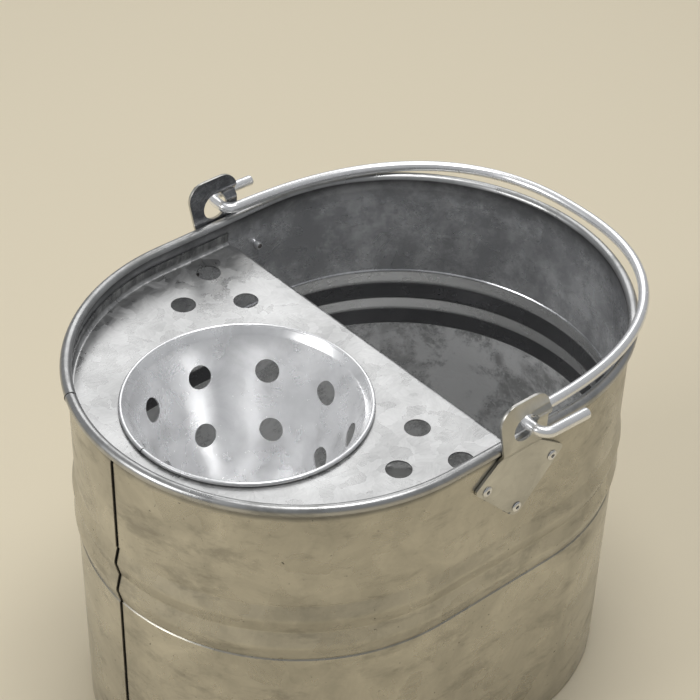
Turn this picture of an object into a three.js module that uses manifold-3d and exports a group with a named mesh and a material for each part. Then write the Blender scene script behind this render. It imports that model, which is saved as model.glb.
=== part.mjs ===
// Oval galvanised mop bucket with a perforated wringer cone, as separate pieces.
// Millimetres, +Z up, the floor at z = 0. The bucket is long along X: the wringer
// half is at -X, the open half at +X, and the handle's ears are at +Y and -Y.
import * as THREE from 'three';
import { mergeVertices } from 'three/addons/utils/BufferGeometryUtils.js';
import Module from 'manifold-3d';

const wasm = await Module();
wasm.setup();

// ---------------------------------------------------------------- driving dimensions
// Oval plan: two half circles joined by straight sides, measured over the rolled rim.
const rimLength = 376;
const rimWidth = 286;
const bucketHeight = 265;
const wallTaper = 0.015;          // how far the wall leans in for each mm down
const plateGap = 0.3;             // bare clearance between neighbouring sheets

// Side wall and its rolled edges.
const wallSheet = 0.8;
const rimWireRadius = 2.5;
const rimOverhang = 3.9;          // the rim stands this far outside the wall
const rimNeck = 7;                // the wall starts to turn in this far below the rim's centre
const ribStart = 75;              // depth of the upper rib's top crease below the rim's centre
const ribPitch = 22;
const ribCount = 2;
const ribDepth = 2.6;
const creaseDepth = 1.0;
const creaseRun = 3;
const footHeight = 8;             // height of the fold that grips the bottom pan

// Bottom pan.
const panSheet = 0.8;
const panFloorRise = 2.2;         // floor of the pan above the foot's fold
const panCorner = 2.5;

// Wringer deck.
const deckSheet = 1.0;
const deckDrop = 16;              // the deck's top face below the rim's centre
const deckLength = 201;           // from the rim's back end to the deck's free edge
const deckLip = 9;
const deckCorner = 2.5;
const flangeGap = 0.5;
const drainRadius = 8;
// Drain holes: how far behind the free edge, and how far in from the wall.
const drainHoles = [[33.5, 57.9], [67, 36.7], [33.5, 19.5]];

// Wringer cone.
const coneBackGap = 26.6;         // flat deck between the rim's back end and the cone
const coneFrontGap = 20.4;        // flat deck between the cone and the free edge
const coneSheet = 0.8;
const coneCurlRadius = 1.4;
const coneFlare = 3.3;            // the wall turns out by this under its curled rim
const coneSlope = 0.4;            // change of radius for each mm of depth
const coneDepthPerRadius = 116 / 77;
const coneCorner = 6;
const coneHoleRadius = 7.7;
// Rows of holes: depth as a share of the cone's, and the first hole's angle in degrees.
const coneRows = [
  { share: 23.5 / 116, count: 9, first: 119.8 },
  { share: 58.5 / 116, count: 7, first: 84.7 },
  { share: 98.5 / 116, count: 5, first: 95 },
];
const coneFloorHoles = 4;
const coneFloorHoleShare = 4 / 19.56; // of the flat floor's radius
const coneFloorCircleShare = 13 / 19.56;

// Ears.
const earSheet = 1.8;
const earTabGap = 0.4;            // between the rim and the standing tab
const joggleStart = 9;            // depth of the lower bend below the rim's centre
const joggleEnd = 1.5;
const earHoleX = 4.2;
const earHoleRise = 1.2;          // the hole's centre above the handle's pivot
const earHolePlay = 5.7;          // the hole's radius less the handle's wire
const earAboveHole = 11.8;        // sheet left round the hole
const earBehindHole = 12.5;
const earBeforeHole = 9.1;
const ridgeRadius = 3.6;
const ridgeRise = 2.2;
const earCentreX = 7.2;
const rivetSpread = 26.2;         // half the distance between the two upper rivets
const rivetUpper = 26.6;          // depth of the upper rivets below the rim's centre
const rivetLower = 52.9;
const earMargin = 4.4;            // sheet left outside the line of the rivets
const earTabCorners = [11, 13];   // radii of the tab's two top corners
const earFootCorners = [3, 6, 3]; // radii of the foot's corners
const earTabTaper = 8;            // the tab's back edge runs forwards by this as it goes down
const earNeck = 8;                // the tab ends and the foot begins this far below the rim

// Blind rivets.
const rivetRadius = 2.0;
const rivetHeadRadius = 3.5;
const rivetHeadHeight = 1.1;
const rivetBulbRadius = 2.6;
const rivetBulbLength = 4.0;
const mandrelRadius = 1.1;
const mandrelHeadRadius = 1.6;
const mandrelHeadLength = 1.6;
const mandrelRecess = 0.9;
const fastenerGap = 0.15;

// Handle.
const bailWireRadius = 3.5;
const bailPivotX = 8.5;
const bailRise = 4.4;             // the wire at the pivot clears the rim by this
const bailSideGap = 3.8;          // between the wire and the ear beside it
const bailPastRim = 2.0;          // the far end's wire clears the rim's outside by this
const bailDrop = 6.4564;          // the resting handle's far end hangs this far below its pivot
const bailEarlyBend = 29;         // its rounded end begins this far before the wall's
const bailRoundness = 2.35;       // exponent of the rounded end, 2 is an ellipse
const bailHookOut = 20;           // the hook runs this far outside the main run
const bailHookLength = 35;
const bailBend = 7.5;

// Facets.
const arcSteps = 18;              // along each half circle of the plan
const coneSteps = 30;
const wireSides = 8;
const holeSteps = 16;
const earHoleSteps = 24;
const rivetSteps = 12;

// ---------------------------------------------------------------- derived places
const rimRadius = rimWireRadius + plateGap + wallSheet;
const rimZ = bucketHeight - rimRadius;
const endRadius = rimWidth / 2 - rimOverhang;      // outside of the wall, level with the rim
const halfStraight = (rimLength - rimWidth) / 2;
const rimCentreOffset = rimOverhang - rimRadius;   // offsets are measured from the wall's outside
const deckTopZ = rimZ - deckDrop;
const deckEdge = deckLength - rimLength / 2;
const coneRimRadius = (deckLength - coneBackGap - coneFrontGap) / 2;
const coneX = deckEdge - coneFrontGap - coneRimRadius;
const coneDepth = coneRimRadius * coneDepthPerRadius;
const leanAngle = Math.atan(wallTaper);
const earBack = plateGap;         // the ear's inner face, outside the wall
const earTabBack = rimOverhang + earTabGap;
const bailPivotZ = rimRadius + bailWireRadius + bailRise;
const bailHalfWidth = endRadius + earTabBack - bailSideGap - bailWireRadius;
const bailReach = rimLength / 2 + bailPastRim + bailWireRadius;
const bailStraight = halfStraight - bailEarlyBend;
const bailDroop = Math.asin(bailDrop / (bailReach - bailPivotX));
const earHoleZ = bailPivotZ + earHoleRise;
const earHoleRadius = bailWireRadius + earHolePlay;
const earTabTop = earHoleZ + earHoleRadius + earAboveHole;
const earTabLeft = earHoleX - earHoleRadius - earBehindHole;
const earTabRight = earHoleX + earHoleRadius + earBeforeHole;
// The overall box is centred on the origin, though the resting handle passes the rim.
const bailTipX = bailPivotX + (bailReach - bailPivotX) * Math.cos(bailDroop) + bailWireRadius;
const centreShift = -(bailTipX - rimLength / 2) / 2;

// ---------------------------------------------------------------- finishes
function steel(colour, roughness) {
  return new THREE.MeshStandardMaterial({ color: colour, roughness, metalness: 0.9 });
}

function named(name, geometry, material) {
  const mesh = new THREE.Mesh(geometry, material);
  mesh.name = name;
  return mesh;
}

// ---------------------------------------------------------------- geometry helpers
// Points on an arc, angles in degrees.
function arcPoints(x, y, radius, from, to, steps) {
  const points = [];
  for (let i = 0; i <= steps; i += 1) {
    const angle = THREE.MathUtils.degToRad(from + (to - from) * i / steps);
    points.push(new THREE.Vector2(x + radius * Math.cos(angle), y + radius * Math.sin(angle)));
  }
  return points;
}

// The closed outline of a sheet that follows a path, with square ends.
function sheetOutline(path, thickness) {
  const left = [];
  const right = [];
  for (let i = 0; i < path.length; i += 1) {
    const before = path[Math.max(i - 1, 0)];
    const after = path[Math.min(i + 1, path.length - 1)];
    const intoCorner = path[i].clone().sub(before).normalize();
    const outOfCorner = after.clone().sub(path[i]).normalize();
    const along = intoCorner.add(outOfCorner).normalize();
    const side = new THREE.Vector2(-along.y, along.x);
    const reference = i === 0 ? after.clone().sub(path[i]) : path[i].clone().sub(before);
    reference.normalize();
    const stretch = Math.max(0.5, along.dot(reference));
    side.multiplyScalar(thickness / 2 / stretch);
    left.push(path[i].clone().add(side));
    right.push(path[i].clone().sub(side));
  }
  return left.concat(right.reverse());
}

function signedArea(points) {
  return THREE.ShapeUtils.area(points);
}

// Stations round the oval: a centre and an outward direction for each.
function ovalStations() {
  const stations = [];
  for (const side of [1, -1]) {
    for (let i = 0; i <= arcSteps; i += 1) {
      const angle = -Math.PI / 2 + Math.PI * i / arcSteps + (side === 1 ? 0 : Math.PI);
      stations.push({
        centreX: side * halfStraight,
        outX: Math.cos(angle),
        outY: Math.sin(angle),
      });
    }
  }
  return stations;
}

// A band round the oval. Outline points are (offset from the wall's outside, z).
function ovalBand(outline) {
  const ring = signedArea(outline) > 0 ? outline : outline.slice().reverse();
  const stations = ovalStations();
  const positions = [];
  for (const station of stations) {
    for (const point of ring) {
      const radius = endRadius + point.x;
      positions.push(station.centreX + radius * station.outX, radius * station.outY, point.y);
    }
  }
  const indices = [];
  const count = ring.length;
  for (let s = 0; s < stations.length; s += 1) {
    const next = (s + 1) % stations.length;
    for (let p = 0; p < count; p += 1) {
      const q = (p + 1) % count;
      const a = s * count + p;
      const b = next * count + p;
      const c = next * count + q;
      const d = s * count + q;
      indices.push(a, b, c, a, c, d);
    }
  }
  const geometry = new THREE.BufferGeometry();
  geometry.setAttribute('position', new THREE.Float32BufferAttribute(positions, 3));
  geometry.setIndex(indices);
  return geometry;
}

// A flat oval plate between two heights.
function ovalPlate(offset, bottom, top) {
  const shape = new THREE.Shape();
  const outline = ovalStations().map((station) => new THREE.Vector2(
    station.centreX + (endRadius + offset) * station.outX,
    (endRadius + offset) * station.outY,
  ));
  shape.setFromPoints(outline);
  const geometry = new THREE.ExtrudeGeometry(shape, { depth: top - bottom, bevelEnabled: false });
  return geometry.translate(0, 0, bottom);
}

function toSolid(geometry) {
  const bare = geometry.clone();
  bare.deleteAttribute('normal');
  bare.deleteAttribute('uv');
  const merged = mergeVertices(bare, 1e-4);
  return new wasm.Manifold(new wasm.Mesh({
    numProp: 3,
    vertProperties: new Float32Array(merged.attributes.position.array),
    triVerts: new Uint32Array(merged.index.array),
  }));
}

function toGeometry(solid) {
  const mesh = solid.getMesh();
  const geometry = new THREE.BufferGeometry();
  geometry.setAttribute('position', new THREE.BufferAttribute(new Float32Array(mesh.vertProperties), 3));
  geometry.setIndex(new THREE.BufferAttribute(new Uint32Array(mesh.triVerts), 1));
  return geometry;
}

// A plain cylinder for cutting, along +Z before it is turned.
function drill(radius, length, steps = holeSteps) {
  return new THREE.CylinderGeometry(radius, radius, length, steps).rotateX(Math.PI / 2);
}

// An outline in X and Z, extruded through a stretch of Y.
function extrudeAlongY(shape, fromY, toY) {
  const geometry = new THREE.ExtrudeGeometry(shape, { depth: toY - fromY, bevelEnabled: false });
  geometry.rotateX(Math.PI / 2);
  return geometry.translate(0, toY, 0);
}

// A polygon whose corners are rounded, each with its own radius.
function roundedShape(corners, cornerSteps = 5) {
  const points = [];
  const count = corners.length;
  for (let i = 0; i < count; i += 1) {
    const [x, y, radius] = corners[i];
    const corner = new THREE.Vector2(x, y);
    if (!radius) {
      points.push(corner);
      continue;
    }
    const before = new THREE.Vector2(...corners[(i + count - 1) % count]).sub(corner).normalize();
    const after = new THREE.Vector2(...corners[(i + 1) % count]).sub(corner).normalize();
    const half = Math.acos(THREE.MathUtils.clamp(before.dot(after), -1, 1)) / 2;
    const reach = radius / Math.tan(half);
    const start = corner.clone().addScaledVector(before, reach);
    const centre = corner.clone().addScaledVector(before.clone().add(after).normalize(), radius / Math.sin(half));
    const sweep = (Math.PI - 2 * half) * Math.sign(after.cross(before));
    for (let step = 0; step <= cornerSteps; step += 1) {
      points.push(start.clone().rotateAround(centre, sweep * step / cornerSteps));
    }
  }
  return new THREE.Shape(points);
}

// ---------------------------------------------------------------- wall and rim wire
// Offset of the wall's middle line at a height.
function wallLine(z) {
  return -wallSheet / 2 - wallTaper * (rimZ - z);
}

function ribPath() {
  const points = [];
  const ribSteps = 5;
  const bottomDepth = ribStart + ribPitch * ribCount;
  const place = (depth, bulge) => {
    const z = rimZ - depth;
    points.push(new THREE.Vector2(wallLine(z) + bulge, z));
  };
  place(bottomDepth + creaseRun, 0);
  for (let rib = ribCount - 1; rib >= 0; rib -= 1) {
    for (let i = 0; i < ribSteps; i += 1) {
      const share = i / ribSteps;
      const depth = ribStart + ribPitch * (rib + 1 - share);
      place(depth, ribDepth * Math.sin(Math.PI * share) - creaseDepth);
    }
  }
  place(ribStart, -creaseDepth);
  place(ribStart - creaseRun, 0);
  return points;
}

// The foot's fold has a flat underside: it is bent in three steps of 60 degrees.
const foldSteps = 3;
const foldRadius = (panSheet + 2 * plateGap + wallSheet) / 2;
const footZ = foldRadius * Math.cos(Math.PI / foldSteps / 2) + wallSheet / 2;

function bodyShell() {
  const outside = wallLine(footZ);
  const foldCentre = outside - foldRadius;
  const path = [
    new THREE.Vector2(foldCentre - foldRadius, footHeight),
    ...arcPoints(foldCentre, footZ, foldRadius, 180, 360, foldSteps),
    ...ribPath(),
    new THREE.Vector2(wallLine(rimZ - rimNeck), rimZ - rimNeck),
  ];
  const curl = rimWireRadius + plateGap + wallSheet / 2;
  path.push(...arcPoints(rimCentreOffset, rimZ, curl, 205, -70, 8));
  return ovalBand(sheetOutline(path, wallSheet));
}

function rimWire() {
  return ovalBand(arcPoints(rimCentreOffset, rimZ, rimWireRadius, 0, 360 * (1 - 1 / wireSides), wireSides - 1));
}

// ---------------------------------------------------------------- bottom pan
function basePan() {
  const flange = wallLine(footZ) - foldRadius;
  const floorZ = footHeight + panFloorRise;
  const path = [
    new THREE.Vector2(flange, footZ),
    ...arcPoints(flange - panCorner, floorZ - panCorner, panCorner, 0, 90, 3),
    new THREE.Vector2(flange - 3 * panCorner, floorZ),
  ];
  const skirt = toSolid(ovalBand(sheetOutline(path, panSheet)));
  const floor = toSolid(ovalPlate(flange - 2 * panCorner, floorZ - panSheet / 2, floorZ + panSheet / 2));
  return toGeometry(skirt.add(floor));
}

// ---------------------------------------------------------------- wringer deck
function deckHoles() {
  const cutters = [];
  const length = 6 * deckSheet;
  for (const [behindEdge, fromWall] of drainHoles) {
    for (const side of [1, -1]) {
      const across = side * (endRadius - fromWall);
      cutters.push(drill(drainRadius, length).translate(deckEdge - behindEdge, across, deckTopZ));
    }
  }
  const seat = coneRimRadius - 2 * coneCurlRadius + plateGap;
  cutters.push(drill(seat, length, coneSteps).translate(coneX, 0, deckTopZ));
  return cutters;
}

function wringerDeck() {
  const outer = wallLine(deckTopZ) - wallSheet / 2 - flangeGap - deckSheet / 2;
  const flangeTop = rimZ - rimNeck - plateGap;
  const middleZ = deckTopZ - deckSheet / 2;
  const path = [
    new THREE.Vector2(outer, flangeTop),
    ...arcPoints(outer - deckCorner, middleZ + deckCorner, deckCorner, 0, -90, 3),
    new THREE.Vector2(outer - 3 * deckCorner, middleZ),
  ];
  let solid = toSolid(ovalBand(sheetOutline(path, deckSheet)));
  solid = solid.add(toSolid(ovalPlate(outer - 2 * deckCorner, deckTopZ - deckSheet, deckTopZ)));
  const joinInto = 4 * deckCorner;   // the lip's flat runs this far into the plate
  const cutAway = new THREE.BoxGeometry(rimLength, rimWidth, 4 * deckDrop);
  solid = solid.subtract(toSolid(cutAway.translate(deckEdge - deckCorner + rimLength / 2, 0, deckTopZ)));
  const bendX = deckEdge - deckSheet / 2 - deckCorner;
  const lipPath = [
    new THREE.Vector2(bendX - joinInto, middleZ),
    ...arcPoints(bendX, middleZ - deckCorner, deckCorner, 90, 0, 3),
    new THREE.Vector2(bendX + deckCorner, middleZ - deckLip),
  ];
  const lipShape = new THREE.Shape(sheetOutline(lipPath, deckSheet));
  const lipHalf = endRadius + wallLine(deckTopZ - deckLip) - wallSheet / 2 - flangeGap;
  solid = solid.add(toSolid(extrudeAlongY(lipShape, -lipHalf, lipHalf)));
  for (const cutter of deckHoles()) {
    solid = solid.subtract(toSolid(cutter));
  }
  return toGeometry(solid);
}

// ---------------------------------------------------------------- wringer cone
function wringerCone() {
  const curl = coneCurlRadius - coneSheet / 2;
  const curlX = coneRimRadius - coneCurlRadius;
  const curlZ = deckTopZ + plateGap + coneCurlRadius;
  const topRadius = curlX - curl;
  const flareZ = deckTopZ - coneFlare / 2;
  const wallRadius = (z) => topRadius - coneFlare - coneSlope * (flareZ - z);
  const bottomZ = deckTopZ - coneDepth;
  const bottomRadius = wallRadius(bottomZ);
  const path = [
    new THREE.Vector2(0, bottomZ),
    new THREE.Vector2(bottomRadius - coneCorner, bottomZ),
    new THREE.Vector2(bottomRadius - coneCorner * 0.3, bottomZ + coneCorner * 0.2),
    new THREE.Vector2(wallRadius(bottomZ + coneCorner), bottomZ + coneCorner),
    new THREE.Vector2(wallRadius(flareZ), flareZ),
    ...arcPoints(curlX, curlZ, curl, 185, -60, 6),
  ];
  const outline = sheetOutline(path, coneSheet);
  outline[0].x = 0;
  outline[outline.length - 1].x = 0;
  const ordered = signedArea(outline) > 0 ? outline : outline.slice().reverse();
  let solid = toSolid(new THREE.LatheGeometry(rotateToAxis(ordered), coneSteps).rotateX(Math.PI / 2));
  for (const row of coneRows) {
    const z = deckTopZ - row.share * coneDepth;
    for (let i = 0; i < row.count; i += 1) {
      const angle = row.first - 360 * i / row.count;
      const cutter = drill(coneHoleRadius, 24, rivetSteps).rotateY(Math.PI / 2 + Math.atan(coneSlope));
      cutter.translate(wallRadius(z), 0, z).rotateZ(THREE.MathUtils.degToRad(angle));
      solid = solid.subtract(toSolid(cutter));
    }
  }
  const floorRadius = bottomRadius - coneCorner;
  for (let i = 0; i < coneFloorHoles; i += 1) {
    const cutter = drill(floorRadius * coneFloorHoleShare, 8 * coneSheet, rivetSteps);
    cutter.translate(floorRadius * coneFloorCircleShare, 0, bottomZ);
    solid = solid.subtract(toSolid(cutter.rotateZ(2 * Math.PI * i / coneFloorHoles)));
  }
  return toGeometry(solid).translate(coneX, 0, 0);
}

// ---------------------------------------------------------------- ears and rivets
// Local frame of an ear: X as the bucket's, Y outwards from the wall's outside, Z from the rim.
function earSection() {
  const half = earSheet / 2;
  const path = [
    new THREE.Vector2(earBack + half, -rivetLower - 3 * earMargin),
    new THREE.Vector2(earBack + half, -joggleStart),
    new THREE.Vector2(earTabBack + half, -joggleEnd),
    new THREE.Vector2(earTabBack + half, earTabTop + earMargin),
  ];
  return sheetOutline(path, earSheet);
}

// The foot is a triangle whose corners lie outside the rivets, the tab a tall round-topped plate.
function earOutline() {
  const reach = rivetSpread + 2.3 * earMargin;
  const shoulder = -rivetUpper + 0.7 * earMargin;
  const tip = -rivetLower - 1.9 * earMargin;
  return roundedShape([
    [earTabLeft - 1 + earTabTaper, -earNeck, 0],
    [earTabLeft - 1, earTabTop, earTabCorners[0]],
    [earTabRight, earTabTop, earTabCorners[1]],
    [earTabRight - 1, -earNeck, 0],
    [earCentreX + reach, shoulder, earFootCorners[0]],
    [earCentreX, tip, earFootCorners[1]],
    [earCentreX - reach, shoulder, earFootCorners[2]],
  ]);
}

function rivetPlaces() {
  return [
    [earCentreX - rivetSpread, -rivetUpper],
    [earCentreX + rivetSpread, -rivetUpper],
    [earCentreX, -rivetLower],
  ];
}

// The bent sheet is cut to its outline, then the ridge is pressed in and the holes are punched.
function ear() {
  const blank = 4 * rivetSpread;
  const through = 8 * earTabBack;
  const section = new THREE.Shape(earSection());
  // The section lies in (outwards, z): it is extruded along X.
  const sheet = new THREE.ExtrudeGeometry(section, { depth: blank, bevelEnabled: false });
  sheet.rotateX(Math.PI / 2).rotateZ(Math.PI / 2).translate(earCentreX - blank / 2, 0, 0);
  const outline = toSolid(extrudeAlongY(earOutline(), -through / 2, through / 2));
  let solid = toSolid(sheet).intersect(outline);
  const ridgeZ = earHoleZ + earHoleRadius - ridgeRadius;
  const ridgeY = earTabBack + earSheet + ridgeRise - ridgeRadius;
  const ridgeLength = 2 * (earTabRight - earHoleX);
  const along = (radius, x, y) => toSolid(
    drill(radius, ridgeLength, holeSteps).rotateY(Math.PI / 2).translate(x + ridgeLength / 2, y, ridgeZ),
  );
  const front = new THREE.BoxGeometry(blank, earTabBack, blank);
  front.translate(0, earTabBack + (earSheet + earTabBack) / 2, 0);
  solid = solid.add(along(ridgeRadius, earHoleX, ridgeY).intersect(toSolid(front)).intersect(outline));
  solid = solid.subtract(along(ridgeRadius - earSheet * 0.75, earHoleX, ridgeY - earSheet * 0.3));
  const punched = [[earHoleX, earHoleZ, earHoleRadius, earHoleSteps]];
  for (const [x, z] of rivetPlaces()) {
    punched.push([x, z, rivetRadius + fastenerGap, rivetSteps]);
  }
  for (const [x, z, radius, steps] of punched) {
    solid = solid.subtract(toSolid(drill(radius, through, steps).rotateX(Math.PI / 2).translate(x, 0, z)));
  }
  return toGeometry(solid);
}

// A rivet lies along +Y: the head outside, the bulb inside the wall.
function rivetBody() {
  const headBase = earBack + earSheet + plateGap / 2;
  const inside = -wallSheet - plateGap / 2;
  const bore = mandrelRadius + fastenerGap;
  const cavity = mandrelHeadRadius + fastenerGap;
  const cavityTop = inside - rivetBulbLength + mandrelHeadLength;
  return latheAlongY([
    [bore, headBase + rivetHeadHeight],
    [bore, cavityTop],
    [cavity, cavityTop - 0.4],
    [cavity, inside - rivetBulbLength],
    [rivetBulbRadius * 0.9, inside - rivetBulbLength],
    [rivetBulbRadius, inside - rivetBulbLength * 0.5],
    [rivetRadius, inside],
    [rivetRadius, headBase],
    [rivetHeadRadius, headBase],
    [rivetHeadRadius * 0.85, headBase + rivetHeadHeight * 0.65],
    [rivetHeadRadius * 0.5, headBase + rivetHeadHeight],
  ], rivetSteps, true);
}

function rivetMandrel() {
  const headBase = earBack + earSheet + plateGap / 2;
  const inside = -wallSheet - plateGap / 2;
  const bulbEnd = inside - rivetBulbLength;
  return latheAlongY([
    [0, headBase + rivetHeadHeight - mandrelRecess],
    [0, bulbEnd - 0.6],
    [mandrelHeadRadius * 0.6, bulbEnd - 0.6],
    [mandrelHeadRadius, bulbEnd],
    [mandrelHeadRadius, bulbEnd + mandrelHeadLength - 0.6],
    [mandrelRadius, bulbEnd + mandrelHeadLength - 0.2],
    [mandrelRadius, headBase + rivetHeadHeight - mandrelRecess],
  ], wireSides, false);
}

function latheAlongY(pairs, steps, closed) {
  const points = pairs.map(([radius, y]) => new THREE.Vector2(radius, y));
  const ordered = signedArea(points) > 0 ? points : points.slice().reverse();
  const profile = closed ? ordered.concat([ordered[0].clone()]) : rotateToAxis(ordered);
  return new THREE.LatheGeometry(profile, steps);
}

// A profile that touches the axis starts and ends on it.
function rotateToAxis(points) {
  const start = points.findIndex((point, i) => point.x < 1e-6
    && points[(i + points.length - 1) % points.length].x < 1e-6);
  return points.slice(start).concat(points.slice(0, start));
}

// The sheet between the rivets has holes for them.
function rivetBores() {
  const cutters = [];
  for (const side of [1, -1]) {
    for (const [x, z] of rivetPlaces()) {
      const bore = drill(rivetRadius + fastenerGap, 12, rivetSteps).rotateX(Math.PI / 2);
      cutters.push(placeOnSide(bore.translate(x, 0, z), side));
    }
  }
  return cutters;
}

// An ear and its rivets lean with the wall. Those at -Y are a mirror image.
function placeOnSide(geometry, side) {
  const leaning = geometry.clone().rotateX(-leanAngle).translate(0, endRadius, rimZ);
  const placed = toSolid(leaning);
  if (side === 1) {
    return toGeometry(placed);
  }
  const mirrored = toGeometry(placed).scale(1, -1, 1);
  const index = mirrored.index.array;
  for (let i = 0; i < index.length; i += 3) {
    [index[i], index[i + 1]] = [index[i + 1], index[i]];
  }
  return mirrored;
}

// ---------------------------------------------------------------- handle
class PointPath extends THREE.Curve {
  constructor(points) {
    super();
    this.points = points;
  }

  getPoint(t) {
    const place = THREE.MathUtils.clamp(t, 0, 1) * (this.points.length - 1);
    const index = Math.min(Math.floor(place), this.points.length - 2);
    return this.points[index].clone().lerp(this.points[index + 1], place - index);
  }

  getPointAt(u) {
    return this.getPoint(u);
  }

  getTangentAt(u) {
    const place = Math.round(u * (this.points.length - 1));
    const before = this.points[Math.max(place - 1, 0)];
    const after = this.points[Math.min(place + 1, this.points.length - 1)];
    return after.clone().sub(before).normalize();
  }
}

// Half of the wire in its own plane, from the hook's free end to the far end of the loop.
function bailHalf() {
  const hookY = bailHalfWidth + bailHookOut;
  const outline = [new THREE.Vector2(bailHookLength, hookY)];
  outline.push(...arcPoints(bailBend, hookY - bailBend, bailBend, 90, 180, 4));
  outline.push(...arcPoints(bailBend, bailHalfWidth + bailBend, bailBend, 180, 270, 4));
  const endX = bailStraight - bailPivotX;
  const endLength = bailReach - bailStraight;
  const loopSteps = 14;
  for (let i = 0; i <= loopSteps; i += 1) {
    const angle = Math.PI / 2 * (1 - i / loopSteps);
    outline.push(new THREE.Vector2(
      endX + endLength * Math.cos(angle) ** (2 / bailRoundness),
      bailHalfWidth * Math.sin(angle) ** (2 / bailRoundness),
    ));
  }
  return outline;
}

function bailHandle() {
  const half = bailHalf();
  const mirrored = half.slice(0, -1).reverse().map((point) => new THREE.Vector2(point.x, -point.y));
  const points = half.concat(mirrored).map((point) => new THREE.Vector3(point.x, point.y, 0));
  const section = new THREE.Shape(arcPoints(0, 0, bailWireRadius, 0, 360 * (1 - 1 / wireSides), wireSides - 1));
  const geometry = new THREE.ExtrudeGeometry(section, {
    steps: points.length - 1,
    extrudePath: new PointPath(points),
    bevelEnabled: false,
  });
  return geometry;
}

// ---------------------------------------------------------------- assembly
const bucket = new THREE.Group();
bucket.position.x = centreShift;

let shell = toSolid(bodyShell());
for (const cutter of rivetBores()) {
  shell = shell.subtract(toSolid(cutter));
}
bucket.add(named('body_shell', toGeometry(shell), steel(0xa39e8c, 0.42)));
bucket.add(named('rim_wire', rimWire(), steel(0x8f8f8f, 0.5)));
bucket.add(named('base_pan', basePan(), steel(0x77756f, 0.5)));
bucket.add(named('wringer_deck', wringerDeck(), steel(0xd2d1cd, 0.38)));
bucket.add(named('wringer_cone', wringerCone(), steel(0xc4c5c6, 0.3)));

for (const [sideName, side] of [['left', 1], ['right', -1]]) {
  bucket.add(named(`ear_${sideName}`, placeOnSide(ear(), side), steel(0xaaa89c, 0.4)));
  rivetPlaces().forEach(([x, z], i) => {
    const body = rivetBody().translate(x, 0, z);
    const mandrel = rivetMandrel().translate(x, 0, z);
    bucket.add(named(`rivet_${sideName}_${i + 1}`, placeOnSide(body, side), steel(0xbfbfbd, 0.4)));
    bucket.add(named(`mandrel_${sideName}_${i + 1}`, placeOnSide(mandrel, side), steel(0x55534f, 0.5)));
  });
}

const bail = new THREE.Group();
bail.position.set(bailPivotX, 0, rimZ + bailPivotZ);
bail.rotation.y = bailDroop;
bail.add(named('bail_handle', bailHandle(), steel(0xcfcfcf, 0.3)));
bucket.add(bail);

export default bucket;
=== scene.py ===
# %% [markdown]
# # An oval mop bucket with a wringer cone
# The bucket is a household thing made of thin zinc-coated steel sheet: an oval wall
# with a wire rolled into its rim, a flat sieve plate over one half, a deep cone with
# holes in which a wet mop is wrung, two riveted ears and a wire handle that swings.
# The measured solids come in first and stay fixed. Everything below is made in the
# same place and at the same size, with the finer edges, bends and finishes that the
# plain solids leave out.

# %% Load the measured frame
import math
import bmesh
import bpy
from mathutils import Matrix, Vector
from mathutils.geometry import delaunay_2d_cdt


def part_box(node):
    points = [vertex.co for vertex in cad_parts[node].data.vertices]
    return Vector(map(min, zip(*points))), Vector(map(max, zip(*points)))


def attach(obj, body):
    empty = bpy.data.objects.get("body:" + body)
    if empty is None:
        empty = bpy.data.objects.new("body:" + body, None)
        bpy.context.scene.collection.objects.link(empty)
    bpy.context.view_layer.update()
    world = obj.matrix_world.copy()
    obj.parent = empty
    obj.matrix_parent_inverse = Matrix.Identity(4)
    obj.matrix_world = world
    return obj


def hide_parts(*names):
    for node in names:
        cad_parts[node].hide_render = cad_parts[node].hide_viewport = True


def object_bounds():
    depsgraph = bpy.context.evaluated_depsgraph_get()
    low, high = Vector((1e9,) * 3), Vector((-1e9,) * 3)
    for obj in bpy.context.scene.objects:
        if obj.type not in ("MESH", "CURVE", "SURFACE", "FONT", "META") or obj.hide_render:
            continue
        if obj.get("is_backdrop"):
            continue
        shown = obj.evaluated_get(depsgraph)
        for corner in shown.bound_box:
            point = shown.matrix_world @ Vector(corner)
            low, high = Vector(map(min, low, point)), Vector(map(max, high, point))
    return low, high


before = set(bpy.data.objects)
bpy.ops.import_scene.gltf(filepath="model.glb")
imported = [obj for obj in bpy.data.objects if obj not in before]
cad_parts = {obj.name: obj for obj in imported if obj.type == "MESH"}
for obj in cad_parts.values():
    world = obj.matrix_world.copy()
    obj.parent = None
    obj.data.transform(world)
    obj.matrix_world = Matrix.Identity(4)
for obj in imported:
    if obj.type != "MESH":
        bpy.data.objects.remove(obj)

cad_low, cad_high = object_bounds()
print("box of the solids:", [round(v, 4) for v in cad_low], [round(v, 4) for v in cad_high])

# %% [markdown]
# ## Where things are
# The plan of the bucket is two half circles joined by short straight sides. Its middle
# and the height of its rim are read from the solids, so the fine pieces land on them.
# Lengths below are in millimetres, because sheet metal is thought of in millimetres,
# and they are turned into metres when a mesh is made.

# %% Sizes shared by the pieces
MM = 0.001
shell_low, shell_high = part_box("body_shell")
middle_x = (shell_low[0] + shell_high[0]) / 2 / MM
rim_wire_radius = 2.5
sheet_gap = 0.3
wall_sheet = 0.8
bead_radius = rim_wire_radius + sheet_gap + wall_sheet
rim_z = shell_high[2] / MM - bead_radius
rim_overhang = 3.9
end_radius = (shell_high[1] - shell_low[1]) / 2 / MM - rim_overhang
half_straight = ((shell_high[0] - shell_low[0]) - (shell_high[1] - shell_low[1])) / 2 / MM
bead_centre = rim_overhang - bead_radius
wall_lean = 0.015
lean_angle = math.atan(wall_lean)
deck_top_z = rim_z - 16
print(f"middle x {middle_x:.2f}, rim height {rim_z:.2f}, end radius {end_radius:.2f}")


def wall_line(z):
    """Distance of the wall's middle line from its outside at the rim, at height z."""
    return -wall_sheet / 2 - wall_lean * (rim_z - z)


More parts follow.
